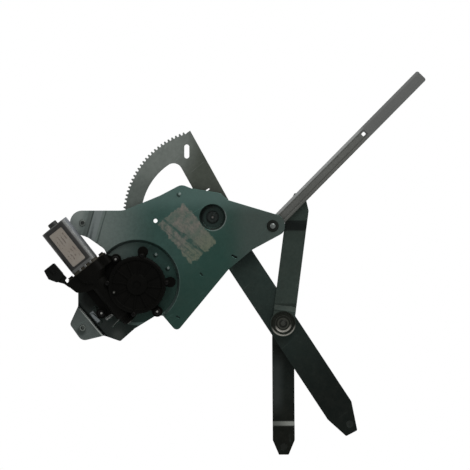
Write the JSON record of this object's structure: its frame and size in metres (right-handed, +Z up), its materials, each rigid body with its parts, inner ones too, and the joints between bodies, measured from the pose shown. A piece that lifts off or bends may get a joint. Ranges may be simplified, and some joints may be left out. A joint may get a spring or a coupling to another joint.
{
  "type": "window regulator",
  "caption": "Cross-arm power window regulator: gear sector and scissor arms on a pressed plate, driven by a worm gear motor, with a pivoted guide rail.",
  "frame": {"origin": "centre of the locating hole in the base plate's front face", "axes": "+X to the right and +Z up as seen from the motor side, +Y through the plate from the motor side to the glass side; the arms stand fully lowered"},
  "size_m": [0.5099, 0.0632, 0.5126],
  "materials": {
    "zinc_sheet": "satin, blue-green passivated zinc",
    "sector_steel": "satin, zinc plated",
    "arm_steel": "dull, dark zinc",
    "rail_steel": "satin, zinc plated, rolled",
    "hardware_zinc": "bright zinc plated",
    "pivot_steel": "dark, phosphated",
    "can_steel": "satin, drawn",
    "gear_steel": "machined, greased",
    "black_plastic": "moulded, matte black",
    "black_nylon": "moulded, black",
    "natural_nylon": "moulded, natural",
    "bronze": "sintered, oily",
    "brush_card": "moulded, khaki",
    "copper": "lacquered copper",
    "ferrite": "sintered ferrite and carbon",
    "damper_rubber": "soft, black"
  },
  "bodies": {
    "plate": {"base_plate": "zinc_sheet", "ear_nuts": "hardware_zinc", "main_pivot_stud": "pivot_steel", "pivot_thrust_washer": "pivot_steel", "pivot_back_washer": "pivot_steel", "rail_pivot_bush": "black_nylon", "gear_housing": "black_plastic", "gear_cover": "black_plastic", "cover_plug": "hardware_zinc", "cover_screws": "hardware_zinc", "mounting_screws": "hardware_zinc", "output_bush": "bronze", "motor_can": "can_steel", "can_bearing": "bronze", "magnets": "ferrite", "brush_holder": "brush_card", "can_screws": "hardware_zinc", "brushes": "ferrite", "worm_bearings": "bronze", "thrust_screw": "gear_steel", "connector_shell": "black_plastic", "connector_terminals": "copper"},
    "lift_arm": {"sector_gear": "sector_steel", "lift_arm": "arm_steel", "sector_rivets": "pivot_steel", "pivot_bush": "natural_nylon", "lift_stud": "pivot_steel", "cross_pivot_bush": "natural_nylon"},
    "lift_roller": {"lift_roller": "black_nylon"},
    "cross_arm": {"aux_arm_upper": "arm_steel", "aux_arm_lower": "arm_steel", "cross_pivot_rivet": "pivot_steel", "aux_tip_rivet": "pivot_steel", "low_stud": "pivot_steel"},
    "low_roller": {"low_roller": "black_nylon"},
    "rail": {"guide_rail": "rail_steel", "rail_pivot_rivet": "pivot_steel"},
    "shoe": {"guide_shoe": "black_nylon", "guide_pin": "pivot_steel"},
    "output": {"output_pinion": "gear_steel", "worm_wheel": "natural_nylon", "wheel_damper": "damper_rubber", "output_clip": "gear_steel"},
    "armature": {"armature_shaft": "gear_steel", "armature_stack": "gear_steel", "armature_windings": "copper", "commutator": "copper"}
  },
  "joints": [
    {"name": "lift", "type": "hinge", "parent": "plate", "child": "lift_arm", "pos_m": [0.076, 0.013, 0.0048], "axis": [0, -1, 0], "range_deg": [0, 100]},
    {"name": "cross", "type": "hinge", "parent": "lift_arm", "child": "cross_arm", "pos_m": [0.17041, 0.016, -0.1373], "axis": [0, -1, 0], "range_deg": [-200.5, 0]},
    {"name": "rail_swing", "type": "hinge", "parent": "plate", "child": "rail", "pos_m": [0.1563, 0.003, -0.0068], "axis": [0, -1, 0], "range_deg": [-24.5, 0]},
    {"name": "shoe_slide", "type": "slide", "parent": "rail", "child": "shoe", "axis": [0.7029, 0, 0.7113], "range_m": [0, 0.169]},
    {"name": "output_turn", "type": "hinge", "parent": "plate", "child": "output", "pos_m": [-0.02405, 0, -0.08512], "axis": [0, -1, 0], "range_deg": [-745.4, 0]},
    {"name": "motor_turn", "type": "hinge", "parent": "plate", "child": "armature", "pos_m": [-0.05363, -0.013, -0.10866], "axis": [0.6225, 0, -0.7826], "range_deg": [0, 49143.3]},
    {"name": "lift_roller_spin", "type": "hinge", "parent": "lift_arm", "child": "lift_roller", "pos_m": [0.25973, 0.027, -0.27173], "axis": [0, -1, 0], "continuous": true},
    {"name": "low_roller_spin", "type": "hinge", "parent": "cross_arm", "child": "low_roller", "pos_m": [0.17142, 0.027, -0.30289], "axis": [0, -1, 0], "continuous": true}
  ],
  "couplings": [
    {"joint": "cross", "follows": "lift", "ratio": -2},
    {"joint": "rail_swing", "follows": "lift", "ratio": -0.23952},
    {"joint": "shoe_slide", "follows": "lift", "m_per_rad": 0.09631},
    {"joint": "output_turn", "follows": "lift", "ratio": -7.4444},
    {"joint": "motor_turn", "follows": "lift", "ratio": 491.33}
  ]
}
